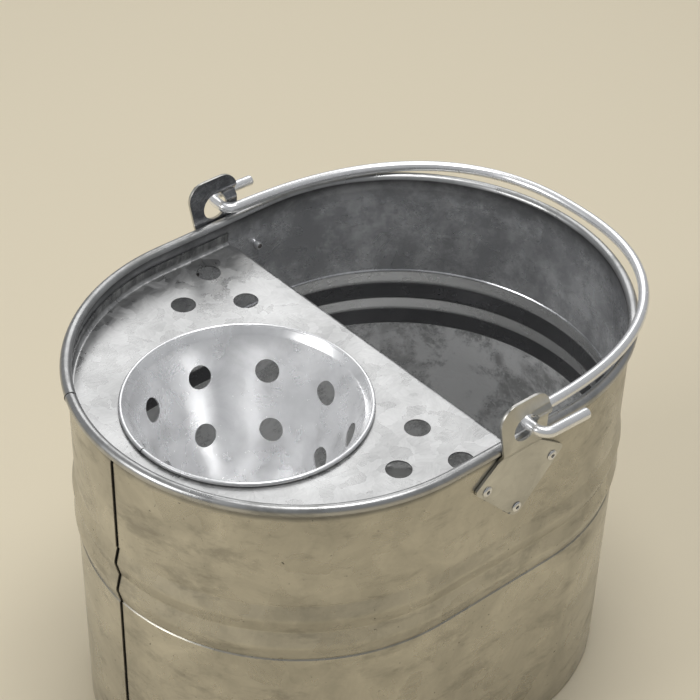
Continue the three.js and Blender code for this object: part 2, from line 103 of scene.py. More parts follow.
# %% [markdown]
# ## Small tools for sheet metal
# Nearly every piece is a sheet that follows a path, so two helpers are enough: one
# gives a path its thickness, the other makes a mesh with smooth bends and crisp folds.
# Primitives with subdivision would round the folds, and a plain Solidify would not
# close the rolled rim, so the cross sections are written out as points instead.

# %% Paths, outlines and meshes
def arc(x, y, radius, start, end, steps):
    """Points on an arc, angles in degrees."""
    angles = [math.radians(start + (end - start) * i / steps) for i in range(steps + 1)]
    return [Vector((x + radius * math.cos(a), y + radius * math.sin(a))) for a in angles]


def sheet_outline(path, thickness):
    """Closed outline of a sheet that follows a path: one face, then the other back."""
    left, right = [], []
    for i, point in enumerate(path):
        before = path[max(i - 1, 0)]
        after = path[min(i + 1, len(path) - 1)]
        into = (point - before).normalized() if i else (after - point).normalized()
        out = (after - point).normalized() if i < len(path) - 1 else into
        along = (into + out).normalized()
        side = Vector((-along.y, along.x)) * (thickness / 2 / max(0.5, along.dot(into)))
        left.append(point + side)
        right.append(point - side)
    return left + right[::-1]


def area_of(ring):
    return sum(a.x * b.y - b.x * a.y for a, b in zip(ring, ring[1:] + ring[:1])) / 2


def make_piece(name, points, faces, crisp=32):
    """A mesh object from points in millimetres, smooth but for folds over an angle."""
    mesh = bpy.data.meshes.new(name)
    mesh.from_pydata([Vector(p) * MM for p in points], [], faces)
    finish_mesh(mesh, crisp)
    piece = bpy.data.objects.new(name, mesh)
    bpy.context.scene.collection.objects.link(piece)
    return piece


def finish_mesh(mesh, crisp):
    mesh.validate()
    mesh.polygons.foreach_set("use_smooth", [True] * len(mesh.polygons))
    mesh.set_sharp_from_angle(angle=math.radians(crisp))
    mesh.update()


def weld(piece, distance=0.00001, outward=True):
    """Merge doubled points and turn every face outwards."""
    work = bmesh.new()
    work.from_mesh(piece.data)
    bmesh.ops.remove_doubles(work, verts=work.verts, dist=distance)
    if outward:
        bmesh.ops.recalc_face_normals(work, faces=work.faces)
    work.to_mesh(piece.data)
    work.free()


def settle(piece, crisp=32):
    """Turn what the modifiers make into a plain mesh on the same object."""
    evaluated = piece.evaluated_get(bpy.context.evaluated_depsgraph_get())
    mesh = bpy.data.meshes.new_from_object(evaluated)
    mesh.name = piece.name
    old = piece.data
    piece.modifiers.clear()
    piece.data = mesh
    bpy.data.meshes.remove(old)
    finish_mesh(mesh, crisp)
    return piece


def report(piece):
    low, high = box_of(piece)
    faces = sum(len(p.vertices) - 2 for p in piece.data.polygons)
    size = [round((b - a) / MM, 1) for a, b in zip(low, high)]
    print(f"{piece.name}: {faces} triangles, {size} mm")


def box_of(piece):
    corners = [v.co for v in piece.data.vertices]
    low = [min(c[i] for c in corners) for i in range(3)]
    high = [max(c[i] for c in corners) for i in range(3)]
    return low, high


# %% [markdown]
# ## Camera
# A long lens from above one corner, as someone standing over the bucket sees it. The
# direction is given as angles round the bucket, so that it can be read and changed.

# %% Set up the camera
azimuth, elevation, roll = (math.radians(a) for a in (-41.703, 37.681, -1.709))
distance = 1.414644
aim = Vector((-0.013060, -0.005890, 0.252464))
back = Vector((math.sin(azimuth) * math.cos(elevation),
               -math.cos(azimuth) * math.cos(elevation), math.sin(elevation)))
level = Vector((math.cos(azimuth), math.sin(azimuth), 0))
upward = back.cross(level)
right = level * math.cos(roll) - upward * math.sin(roll)
upright = level * math.sin(roll) + upward * math.cos(roll)
camera_data = bpy.data.cameras.new("camera")
camera_data.sensor_width = 36
camera_data.lens = 118.904
camera = bpy.data.objects.new("camera", camera_data)
camera.matrix_world = Matrix.Translation(aim + back * distance) @ Matrix(
    (right, upright, back)).transposed().to_4x4()
bpy.context.scene.collection.objects.link(camera)
bpy.context.scene.camera = camera
print("camera at", [round(v, 3) for v in camera.location])

# %% [markdown]
# ## Studio
# Bare zinc shows little colour of its own: it shows what is round it. A big soft panel
# behind and above lights the flat plate and the top of the rim, a second one fills
# from the left, and a pale warm floor gives the outside of the wall its tone.

# %% Floor and lights
def soft_panel(name, place, width, height, power):
    """A rectangle of light that faces the middle of the bucket."""
    data = bpy.data.lights.new(name, "AREA")
    data.shape = "RECTANGLE"
    data.size, data.size_y = width, height
    data.energy = power
    lamp = bpy.data.objects.new(name, data)
    facing = (Vector((0, 0, 0.2)) - Vector(place)).to_track_quat("-Z", "Y")
    lamp.matrix_world = Matrix.Translation(place) @ facing.to_matrix().to_4x4()
    bpy.context.scene.collection.objects.link(lamp)


soft_panel("panel_behind", (1.0, 1.2, 1.5), 1.5, 0.9, 7)
soft_panel("panel_left", (-1.9, 0.5, 1.3), 0.9, 1.1, 15)
soft_panel("panel_above", (0.2, -0.1, 2.2), 0.9, 0.9, 17)

world = bpy.data.worlds.new("studio")
world.use_nodes = True
world.node_tree.nodes["Background"].inputs["Color"].default_value = (0.78, 0.80, 0.83, 1)
world.node_tree.nodes["Background"].inputs["Strength"].default_value = 0.37
bpy.context.scene.world = world

floor_material = bpy.data.materials.new("pale_floor")
floor_material.use_nodes = True
floor_shader = floor_material.node_tree.nodes["Principled BSDF"]
floor_shader.inputs["Base Color"].default_value = (0.80, 0.71, 0.53, 1)
floor_shader.inputs["Roughness"].default_value = 0.7
floor = make_piece("floor", [(-6000, -6000, -0.4), (6000, -6000, -0.4), (6000, 6000, -0.4),
                             (-6000, 6000, -0.4)], [(0, 1, 2, 3)])
floor.data.materials.append(floor_material)
floor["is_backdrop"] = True
bpy.context.scene.view_settings.view_transform = "Standard"

# %% [markdown]
# ## Zinc
# Hot-dip galvanising leaves a skin of zinc crystals. Seen close, each crystal is a
# patch a few millimetres across with its own tone and a faint feather of streaks that
# point its own way; over the whole sheet lie cloudy stains and small dark specks.
# An image would show its repeats, so the skin is built from nodes: a cell pattern
# picks each crystal's tone and turns the streaks inside it, and two noises add the
# clouds and the specks. Every sheet shares this and differs in tone, size and shine.

# %% Helpers for node materials
class Nodes:
    """Short names for adding and joining shader nodes."""

    def __init__(self, material):
        material.use_nodes = True
        self.tree = material.node_tree
        self.shader = self.tree.nodes["Principled BSDF"]

    def add(self, kind, **settings):
        node = self.tree.nodes.new("ShaderNode" + kind)
        for key, value in settings.items():
            if hasattr(node, key):
                setattr(node, key, value)
            else:
                node.inputs[key.replace("_", " ")].default_value = value
        return node

    def join(self, source, target):
        self.tree.links.new(source, target)

    def math(self, operation, a, b=None, c=None):
        node = self.add("Math", operation=operation)
        for socket, value in zip(node.inputs, (a, b, c)):
            if value is None:
                continue
            if isinstance(value, (int, float)):
                socket.default_value = value
            else:
                self.join(value, socket)
        return node.outputs[0]

    def noise(self, vector, scale, detail=3, roughness=0.5, distortion=0):
        node = self.add("TexNoise")
        node.inputs["Scale"].default_value = scale
        node.inputs["Detail"].default_value = detail
        node.inputs["Roughness"].default_value = roughness
        node.inputs["Distortion"].default_value = distortion
        self.join(vector, node.inputs["Vector"])
        return node.outputs["Fac"]

    def span(self, value, low, high, to_low=0.0, to_high=1.0):
        """Smoothly carry a value from one range to another."""
        node = self.add("MapRange", interpolation_type="SMOOTHSTEP")
        self.join(value, node.inputs[0])
        for socket, number in zip(node.inputs[1:5], (low, high, to_low, to_high)):
            socket.default_value = number
        return node.outputs[0]

    def blend(self, factor, a, b):
        node = self.add("Mix", data_type="RGBA")
        for socket, value in ((node.inputs[0], factor), (node.inputs[6], a), (node.inputs[7], b)):
            if isinstance(value, tuple):
                socket.default_value = (*value, 1)
            elif isinstance(value, (int, float)):
                socket.default_value = value
            else:
                self.join(value, socket)
        return node.outputs[2]


# %% The zinc skin
def crystal_skin(nodes, crystal, streak_strength=0.5):
    """Tone from -1 to 1 of the zinc crystals; crystal is their size in metres."""
    place = nodes.add("TexCoord").outputs["Object"]
    warp = nodes.add("TexNoise")
    warp.inputs["Scale"].default_value = 0.9 / crystal
    warp.inputs["Detail"].default_value = 4
    nodes.join(place, warp.inputs["Vector"])
    shift = nodes.add("VectorMath", operation="MULTIPLY_ADD")
    nodes.join(warp.outputs["Color"], shift.inputs[0])
    shift.inputs[1].default_value = (crystal * 1.5,) * 3
    nodes.join(place, shift.inputs[2])
    cells = nodes.add("TexVoronoi", feature="F1")
    cells.inputs["Scale"].default_value = 1 / crystal
    nodes.join(shift.outputs[0], cells.inputs["Vector"])
    parts = nodes.add("SeparateColor")
    nodes.join(cells.outputs["Color"], parts.inputs[0])
    turned = nodes.add("VectorRotate", rotation_type="EULER_XYZ")
    spin = nodes.add("VectorMath", operation="SCALE")
    nodes.join(cells.outputs["Color"], spin.inputs[0])
    spin.inputs["Scale"].default_value = 6.28
    nodes.join(place, turned.inputs["Vector"])
    nodes.join(spin.outputs[0], turned.inputs["Rotation"])
    stretch = nodes.add("Mapping")
    stretch.inputs["Scale"].default_value = (5, 1, 1)
    nodes.join(turned.outputs[0], stretch.inputs["Vector"])
    feather = nodes.noise(stretch.outputs[0], 1.3 / crystal, detail=5, roughness=0.6)
    tone = nodes.math("SUBTRACT", parts.outputs[0], 0.5)
    streaks = nodes.math("MULTIPLY", nodes.math("SUBTRACT", feather, 0.5), 3 * streak_strength)
    return place, nodes.math("ADD", nodes.math("MULTIPLY", tone, 2 * (1 - streak_strength)), streaks)


def zinc(name, colour, roughness, crystal=0.009, crystal_contrast=0.12, cloud_contrast=0.18,
         cloud=14, speck=0.35, uneven=0.12, bump=0.2, metal=0.9):
    """A galvanised finish. Contrasts are shares of the colour, cloud is its scale."""
    material = bpy.data.materials.new(name)
    nodes = Nodes(material)
    place, crystals = crystal_skin(nodes, crystal)
    stains = nodes.noise(place, cloud, detail=6, roughness=0.62, distortion=0.6)
    clouds = nodes.math("SUBTRACT", stains, 0.5)
    specks = nodes.span(nodes.noise(place, 420, detail=2, roughness=0.4), 0.70, 0.80)
    fade = nodes.noise(place, 30, detail=2)
    specks = nodes.math("MULTIPLY", specks, nodes.span(fade, 0.45, 0.62))
    level = nodes.math("MULTIPLY_ADD", crystals, crystal_contrast, 1.0)
    level = nodes.math("MULTIPLY_ADD", clouds, 2 * cloud_contrast, level)
    level = nodes.math("SUBTRACT", level, nodes.math("MULTIPLY", specks, speck))
    scale = nodes.add("VectorMath", operation="SCALE")
    scale.inputs[0].default_value = colour
    nodes.join(level, scale.inputs["Scale"])
    nodes.colour = scale.outputs[0]
    rough = nodes.math("MULTIPLY_ADD", crystals, uneven * 0.5, roughness)
    rough = nodes.math("MULTIPLY_ADD", clouds, -uneven, rough)
    nodes.rough = nodes.math("MULTIPLY_ADD", specks, 0.2, rough)
    fine = nodes.noise(place, 900, detail=2)
    height = nodes.math("MULTIPLY_ADD", crystals, 0.6, nodes.math("MULTIPLY", fine, 0.5))
    relief = nodes.add("Bump")
    relief.inputs["Strength"].default_value = bump
    relief.inputs["Distance"].default_value = 0.00012
    nodes.join(height, relief.inputs["Height"])
    nodes.join(relief.outputs[0], nodes.shader.inputs["Normal"])
    nodes.join(nodes.colour, nodes.shader.inputs["Base Color"])
    nodes.join(nodes.rough, nodes.shader.inputs["Roughness"])
    nodes.shader.inputs["Metallic"].default_value = metal
    nodes.place = place
    return material, nodes


deck_zinc, deck_nodes = zinc("deck_zinc", (0.47, 0.47, 0.465), 0.33, crystal=0.010,
                             crystal_contrast=0.44, cloud_contrast=0.24, cloud=16, speck=0.12, uneven=0.28)
cone_zinc, cone_nodes = zinc("cone_zinc", (0.94, 0.94, 0.945), 0.25, crystal=0.012,
                             crystal_contrast=0.04, cloud_contrast=0.45, cloud=30, speck=0.40, bump=0.02,
                             metal=0.68)
pan_zinc, _ = zinc("pan_zinc", (0.50, 0.50, 0.49), 0.45, crystal=0.014,
                           crystal_contrast=0.16, cloud_contrast=0.30)
ear_zinc, ear_nodes = zinc("ear_zinc", (0.56, 0.55, 0.51), 0.34, crystal=0.016,
                           crystal_contrast=0.08, cloud_contrast=0.42, cloud=40, speck=0.6)
bail_zinc, _ = zinc("bail_zinc", (0.95, 0.95, 0.95), 0.26, crystal=0.03,
                             crystal_contrast=0.03, cloud_contrast=0.08, cloud=30, speck=0.4,
                             uneven=0.04, bump=0.02, metal=0.75)
wire_steel, _ = zinc("rim_wire_steel", (0.40, 0.40, 0.40), 0.5, crystal=0.02,
                              crystal_contrast=0.04, cloud_contrast=0.2, cloud=60)
rivet_metal, _ = zinc("rivet_aluminium", (0.85, 0.85, 0.85), 0.30, crystal=0.004,
                                crystal_contrast=0.05, cloud_contrast=0.2, cloud=160)
mandrel_metal, _ = zinc("mandrel_steel", (0.20, 0.19, 0.18), 0.5, crystal=0.003,
                                    crystal_contrast=0.1, cloud_contrast=0.3, cloud=200)
print("finishes:", [m.name for m in bpy.data.materials])

# %% [markdown]
# ### Three marks in the colour
# The plate's upturned flange gets a darker, streaked colour above the plate's top. The
# side of an ear that faces the bucket is darker than its outside, and mottled: painted
# shade. And the ends of the cone's curled rim don't quite meet. The first two are a second
# colour mixed in, by height or by a value the mesh carries; the third is a thin dark line
# drawn from the cone's axis.

# %% Darken the deck's flange
def darken_flange(nodes):
    height = nodes.add("SeparateXYZ")
    nodes.join(nodes.place, height.inputs[0])
    raised = nodes.span(height.outputs[2], (deck_top_z + 1.5) * MM, (deck_top_z + 3.5) * MM)
    streaks = nodes.add("Mapping")
    streaks.inputs["Scale"].default_value = (1, 1, 0.25)
    nodes.join(nodes.place, streaks.inputs["Vector"])
    marks = nodes.noise(streaks.outputs[0], 120, detail=5, roughness=0.7)
    # A darker, streaked colour is mixed in on the flange above the plate's top.
    darker = nodes.blend(nodes.span(marks, 0.40, 0.64), (0.20, 0.20, 0.20), (0.46, 0.46, 0.45))
    nodes.join(nodes.blend(raised, nodes.colour, darker), nodes.shader.inputs["Base Color"])


darken_flange(deck_nodes)
print("flange dulled")

# %% Paint shade on the ears' inner face
def shade_ear_back(nodes):
    inner = nodes.add("Attribute", attribute_name="inner").outputs["Fac"]
    stains = nodes.noise(nodes.place, 90, detail=6, roughness=0.7)
    # Painted shade: the face towards the bucket gets a darker, mottled colour.
    painted_shade = nodes.blend(nodes.span(stains, 0.4, 0.65), (0.24, 0.245, 0.26), (0.50, 0.505, 0.52))
    nodes.join(nodes.blend(inner, nodes.colour, painted_shade), nodes.shader.inputs["Base Color"])
    nodes.join(nodes.math("MULTIPLY_ADD", inner, -0.1, nodes.rough), nodes.shader.inputs["Roughness"])


shade_ear_back(ear_nodes)
print("ears' inner face weathered")

# %% Split the cone's rim
cone_x, cone_rim, cone_curl = -84.4, 77.0, 1.4


def split_rim(nodes, angle=178.0):
    """A dark nick across the curled rim, where the ends of the curl meet."""
    place = nodes.add("SeparateXYZ")
    nodes.join(nodes.place, place.inputs[0])
    along = nodes.math("SUBTRACT", place.outputs[0], (middle_x + cone_x) * MM)
    turn = math.radians(angle)
    across = nodes.math("SUBTRACT", nodes.math("MULTIPLY", along, math.sin(turn)),
                        nodes.math("MULTIPLY", place.outputs[1], math.cos(turn)))
    outward = nodes.math("ADD", nodes.math("MULTIPLY", along, math.cos(turn)),
                         nodes.math("MULTIPLY", place.outputs[1], math.sin(turn)))
    near = nodes.span(nodes.math("ABSOLUTE", across), 0.5 * MM, 0.3 * MM)
    far_out = nodes.span(outward, (cone_rim - 3.4) * MM, (cone_rim - 3.0) * MM)
    colour = nodes.blend(nodes.math("MULTIPLY", near, far_out), nodes.colour, (0.01, 0.01, 0.01))
    nodes.join(colour, nodes.shader.inputs["Base Color"])


split_rim(cone_nodes)
print("cone's rim split")

# %% [markdown]
# ### The wall's finish
# One sheet, two faces. Outside it is satin and warm, with soft dark blotches; inside
# it has weathered to charcoal, with paler clouds low down where water stands, made pale
# enough to stand also for the light that the lower wall reflects from the pan, which is
# painted light. The mesh carries four values of its own: "inner" for the inside face,
# "grime_and_shade" for painted shade under the rolled rim, outside and inside, and for
# the lap seam's dark line, a painted shadow of the lap's edge with dirt in it, "bead" for
# the bright rolled rim itself, and "lit_flank" for the upper flank of each swage inside,
# painted light there, with painted shade on the flank below.

# %% Paint the wall
swage_top, swage_pitch, swages, swage_depth, crease = 75, 22, 2, 2.1, 0.7
ribs_end = rim_z - swage_top - swages * swage_pitch

wall_zinc, wall_nodes = zinc("wall_zinc", (0.50, 0.475, 0.41), 0.31, crystal=0.020,
                             crystal_contrast=0.12, cloud_contrast=0.44, cloud=24, speck=0.8, uneven=0.2)


def paint_wall(nodes):
    inner = nodes.add("Attribute", attribute_name="inner").outputs["Fac"]
    grime_and_shade = nodes.add("Attribute", attribute_name="grime_and_shade").outputs["Fac"]
    bead = nodes.add("Attribute", attribute_name="bead").outputs["Fac"]
    lit_flank = nodes.add("Attribute", attribute_name="lit_flank").outputs["Fac"]
    height = nodes.add("SeparateXYZ")
    nodes.join(nodes.place, height.inputs[0])
    slant = nodes.add("Mapping")
    slant.inputs["Rotation"].default_value = (0.5, 0.4, 0.6)
    slant.inputs["Scale"].default_value = (1, 1, 2.4)
    nodes.join(nodes.place, slant.inputs["Vector"])
    smudges = nodes.noise(slant.outputs[0], 24, detail=9, roughness=0.72, distortion=0.3)
    smudge = nodes.span(smudges, 0.50, 0.68)
    outside = nodes.blend(nodes.math("MULTIPLY", smudge, 0.42), nodes.colour, (0.20, 0.185, 0.16))
    bright = nodes.blend(nodes.span(smudges, 0.45, 0.70), (0.48, 0.48, 0.475), (0.30, 0.30, 0.29))
    outside = nodes.blend(bead, outside, bright)
    low_clouds = nodes.noise(nodes.place, 34, detail=7, roughness=0.70, distortion=0.2)
    high_clouds = nodes.noise(nodes.place, 26, detail=9, roughness=0.78)
    charcoal = nodes.blend(nodes.span(high_clouds, 0.40, 0.62),
                           (0.52, 0.525, 0.54), (0.86, 0.865, 0.88))
    # Low down inside: paler clouds of water haze, made pale enough to stand also for the light the lower
    # wall reflects from the pan, which is painted light.
    pale = nodes.blend(nodes.span(low_clouds, 0.40, 0.58), (0.75, 0.75, 0.75), (1.0, 1.0, 0.99))
    # Inside the swages: painted light on each upper flank and painted shade on the flank below.
    ribs_lit_and_shaded = nodes.blend(lit_flank, (0.16, 0.16, 0.165), (0.72, 0.72, 0.72))
    top_crease = rim_z - swage_top
    past_top = nodes.span(height.outputs[2], (top_crease + 0.2) * MM, (top_crease - 0.2) * MM)
    down = nodes.span(height.outputs[2], (ribs_end + 0.3) * MM, (ribs_end - 0.3) * MM)
    inside = nodes.blend(down, nodes.blend(past_top, charcoal, ribs_lit_and_shaded), pale)
    colour = nodes.blend(inner, outside, inside)
    # Near black where the mesh asks for it: painted shade under the rolled rim, a painted shadow with dirt
    # in the lap seam's groove, and a dark nick across the rolled rim.
    colour = nodes.blend(grime_and_shade, colour, (0.012, 0.011, 0.010))
    nodes.join(colour, nodes.shader.inputs["Base Color"])
    chalk = nodes.math("MULTIPLY", down, nodes.span(low_clouds, 0.38, 0.54, 0.25, 0.9))
    chalk = nodes.math("MULTIPLY", inner, nodes.math("MAXIMUM", chalk, 0.16))
    nodes.join(nodes.math("SUBTRACT", 0.9, chalk), nodes.shader.inputs["Metallic"])
    rough = nodes.math("MULTIPLY_ADD", grime_and_shade, 0.35, nodes.rough)
    rough = nodes.math("MULTIPLY_ADD", smudge, 0.08, rough)
    rough = nodes.math("MULTIPLY_ADD", inner, -0.07, rough)
    nodes.join(rough, nodes.shader.inputs["Roughness"])


paint_wall(wall_nodes)
print("swages from", swage_top, "to", round(rim_z - ribs_end, 1), "mm below the rim")

# %% [markdown]
# ## The wall
# The real wall is one strip: bent to an oval, lapped and soldered at the back end,
# pressed with two swages that stiffen it, folded under the bottom pan at its foot and
# rolled over a wire at its rim. A sweep of one cross section round the oval gives all
# of this at once. The lap is a step in that sweep: at one place round the oval the
# outer face starts a sheet's thickness further out and then fades back.

# %% Stations round the oval
straight = 2 * half_straight
loop_length = 2 * straight + 2 * math.pi * end_radius


def oval_at(s):
    """Centre x and outward direction at a length s round the wall from its back end."""
    quarter = math.pi / 2 * end_radius
    if s < quarter:
        return -half_straight, math.pi + s / end_radius
    s -= quarter
    if s < straight:
        return -half_straight + s, 1.5 * math.pi
    s -= straight
    if s < 2 * quarter:
        return half_straight, 1.5 * math.pi + s / end_radius
    s -= 2 * quarter
    if s < straight:
        return half_straight - s, 2.5 * math.pi
    return -half_straight, 2.5 * math.pi + (s - straight) / end_radius


def even_stations(arc_steps=72, straight_steps=4):
    """Lengths of stations at every turn of the oval, evenly spread on each stretch."""
    quarter = math.pi / 2 * end_radius
    stretches = [(quarter, arc_steps // 2), (straight, straight_steps), (2 * quarter, arc_steps),
                 (straight, straight_steps), (quarter, arc_steps // 2)]
    lengths, start = [], 0.0
    for length, steps in stretches:
        lengths += [start + length * i / steps for i in range(steps)]
        start += length
    return lengths


def on_oval(s, offset, z):
    centre, angle = oval_at(s)
    radius = end_radius + offset
    return (middle_x + centre + radius * math.cos(angle), radius * math.sin(angle), z)


def sweep_faces(rounds, count):
    """Faces of a closed section of count points, carried once round and closed."""
    faces = []
    for s in range(rounds):
        t = (s + 1) % rounds
        for p in range(count):
            q = (p + 1) % count
            faces.append((s * count + p, t * count + p, t * count + q, s * count + q))
    return faces


print(f"round the wall: {loop_length:.1f} mm, {len(even_stations())} stations")

# %% Cross section of the wall
fold_radius = (wall_sheet * 2 + 2 * sheet_gap) / 2
fold_z = fold_radius + wall_sheet / 2
foot_height = 8


def peak(share):
    """A pressed ridge: two flat flanks that meet in a small round."""
    height = 1 - abs(2 * share - 1)
    if height < 0.8:
        return height
    return 0.8 + 0.2 * math.sin((height - 0.8) / 0.2 * math.pi / 2) * 0.72


def wall_path():
    fold_centre = wall_line(fold_z) - fold_radius
    path = [Vector((fold_centre - fold_radius, foot_height))]
    path += arc(fold_centre, fold_z, fold_radius, 180, 360, 10)
    bottom = swage_top + swages * swage_pitch
    for depth in (230, 200, 170, 145, bottom + 9, bottom + 4, bottom + 1.6, bottom + 0.9):
        path.append(Vector((wall_line(rim_z - depth), rim_z - depth)))
    path.append(Vector((wall_line(rim_z - bottom) - crease * 0.8, rim_z - bottom - 0.25)))
    for swage in range(swages, 0, -1):
        for i in range(20):
            share = i / 20
            depth = swage_top + swage_pitch * (swage - share)
            bulge = (swage_depth + crease) * peak(share) - crease
            path.append(Vector((wall_line(rim_z - depth) + bulge, rim_z - depth)))
    path.append(Vector((wall_line(rim_z - swage_top) - crease, rim_z - swage_top)))
    path.append(Vector((wall_line(rim_z - swage_top) - crease * 0.85, rim_z - swage_top + 0.3)))
    for depth in (swage_top - 1.0, swage_top - 1.8, swage_top - 4, 60, 45, 30, 18, 12, 9, 7):
        path.append(Vector((wall_line(rim_z - depth), rim_z - depth)))
    path += arc(bead_centre, rim_z, bead_radius - wall_sheet / 2, 205, -70, 26)
    return path


def smooth_corner(path, low, high, rounds=2):
    """Ease the points of a path between two heights, as a press does."""
    for _ in range(rounds):
        eased = [p.copy() for p in path]
        for i in range(1, len(path) - 1):
            if low < path[i].y < high:
                eased[i].x = (path[i - 1].x + 2 * path[i].x + path[i + 1].x) / 4
        path = eased
    return path


section = smooth_corner(wall_path(), rim_z - 11, rim_z - 3, 1)
print(len(section), "points down the wall")

# %% Sweep the wall
lap_height, lap_length, groove_width, groove_depth = 0.9, 26, 1.5, 0.3
notch_at = loop_length - 55.4
inner_shade_depth = 16


def wall_stations():
    near_seam = [0.6, 1.2, 1.6, 2.5, 5, 9, 16, 26]
    lengths = [s for s in even_stations() if 30 < s < loop_length - 30 and abs(s - notch_at) > 3]
    lengths += [notch_at + d for d in (-2.2, -0.8, -0.25, 0.25, 0.8, 2.2)]
    before_seam = [loop_length - d for d in (26, 20, 14, 9, 5, 2.5, 1, 0.02)]
    return [0.0] + near_seam + sorted(lengths) + before_seam


def sweep_wall():
    outline = sheet_outline(section, wall_sheet)
    count = len(section)
    is_inner = [0.0] * count + [1.0] * count
    if area_of(outline) < 0:
        outline, is_inner = outline[::-1], is_inner[::-1]
    if sum(p.x for p, side in zip(outline, is_inner) if side) > sum(
            p.x for p, side in zip(outline, is_inner) if not side):
        is_inner = [1 - side for side in is_inner]
    points, inner, grime_and_shade, bead, lit_flank = [], [], [], [], []
    stations = wall_stations()
    for s in stations:
        past_seam = max(0.0, 1 - (loop_length - s) / lap_length)
        for point, side in zip(outline, is_inner):
            outward = Vector((point.x - bead_centre, point.y - rim_z))
            at_bead = outward.length < bead_radius + 0.2
            within = side and point.x < bead_centre and point.y < rim_z + 0.6
            lift = lap_height * past_seam * past_seam if not side else 0.0
            shade_and_dirt = 0.0
            if at_bead:
                lift *= 0.35
                if abs(s - notch_at) < 0.5 and side:
                    lift, shade_and_dirt = 0.5, 1.0
            # The lap seam's groove is painted near black: painted shadow of the lap's edge, with dirt in
            # it.
            elif not side and s < groove_width and point.y > 4:
                lift, shade_and_dirt = -groove_depth, 1.0
            # Painted shade: inside, the wall darkens towards the rolled rim above it.
            if within and point.y > rim_z - inner_shade_depth:
                shade_and_dirt = max(shade_and_dirt, 0.6 * (point.y - rim_z + inner_shade_depth) / 12)
            # Painted shade: a dark band on the outside just under the rolled rim.
            if not side and point.y < rim_z - 5.0:
                under = math.exp(-((rim_z - 5.6 - point.y) / 1.5) ** 2)
                shade_and_dirt = max(shade_and_dirt, 0.75 * under)
            points.append(on_oval(s, point.x + lift, point.y))
            inner.append(1.0 if within else 0.0 if at_bead else side)
            bead.append(1.0 if at_bead and not within else 0.0)
            # Painted light on the upper flank of each swage inside; the flank below gets painted shade.
            down_swages = (rim_z - swage_top - point.y) / swage_pitch
            upper_flank = down_swages < 0 or down_swages % 1 < 0.5
            lit_flank.append(1.0 if -0.04 < down_swages < swages and upper_flank else 0.0)
            grime_and_shade.append(shade_and_dirt)
    wall = make_piece("bucket_wall", points, sweep_faces(len(stations), len(outline)), 40)
    for name, values in (("inner", inner), ("grime_and_shade", grime_and_shade), ("bead", bead), ("lit_flank", lit_flank)):
        layer = wall.data.attributes.new(name, "FLOAT", "POINT")
        layer.data.foreach_set("value", values)
    return wall


wall = sweep_wall()
wall.data.materials.append(wall_zinc)
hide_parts("body_shell")
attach(wall, "bucket")
report(wall)

# %% [markdown]
# ## The wire in the rim
# The wire that stiffens the rim is hidden but for the slit where the sheet's edge ends
# inside. Its measured solid is the right shape, so it only gets a finish.

# %% Finish the rim's wire
def refinish(node, material):
    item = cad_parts[node]
    for slot in item.material_slots:
        slot.material = material


refinish("rim_wire", wire_steel)
print("rim wire:", [s.material.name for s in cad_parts["rim_wire"].material_slots])

# %% [markdown]
# ## The bottom pan
# A shallow pressed pan whose turned-down edge is gripped by the wall's fold. It is a
# sweep too, but its section runs all the way to the middle, where the oval shrinks to
# a line and the two sides are welded. A low step keeps the thin floor from drumming.

# %% Sweep the pan
pan_sheet = 0.8
pan_floor = foot_height + 2.2


def sweep_pan():
    flange = wall_line(fold_z) - fold_radius
    path = [Vector((flange, fold_z))]
    path += arc(flange - 2.5, pan_floor - 2.5, 2.5, 0, 90, 8)
    for inset, drop in ((14, 0), (18, 0), (20, 0.3), (23, 1.2), (25, 1.5), (40, 1.5), (80, 1.5),
                        (120, 1.5)):
        path.append(Vector((flange - inset, pan_floor - drop)))
    path.append(Vector((-end_radius, pan_floor - 1.5)))
    outline = sheet_outline(path, pan_sheet)
    outline[len(path) - 1].x = outline[len(path)].x = -end_radius
    if area_of(outline) < 0:
        outline = outline[::-1]
    stations = even_stations(72, 4)
    points = [on_oval(s, p.x, p.y) for s in stations for p in outline]
    pan = make_piece("bucket_pan", points, sweep_faces(len(stations), len(outline)), 40)
    weld(pan)
    finish_mesh(pan.data, 40)
    return pan


pan = sweep_pan()
pan.data.materials.append(pan_zinc)
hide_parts("base_pan")
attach(pan, "bucket")
report(pan)

# %% [markdown]
# ## Punched holes
# A press punches the plate and the cone with round punches: three holes on each side
# of the cone's seat, and rows of them round the cone. This repeats by a rule, so it is
# a job for Geometry Nodes: one tree places a punch at every hole and takes them all
# out of the sheet at once. Cutting one by one would be slower and harder to change.

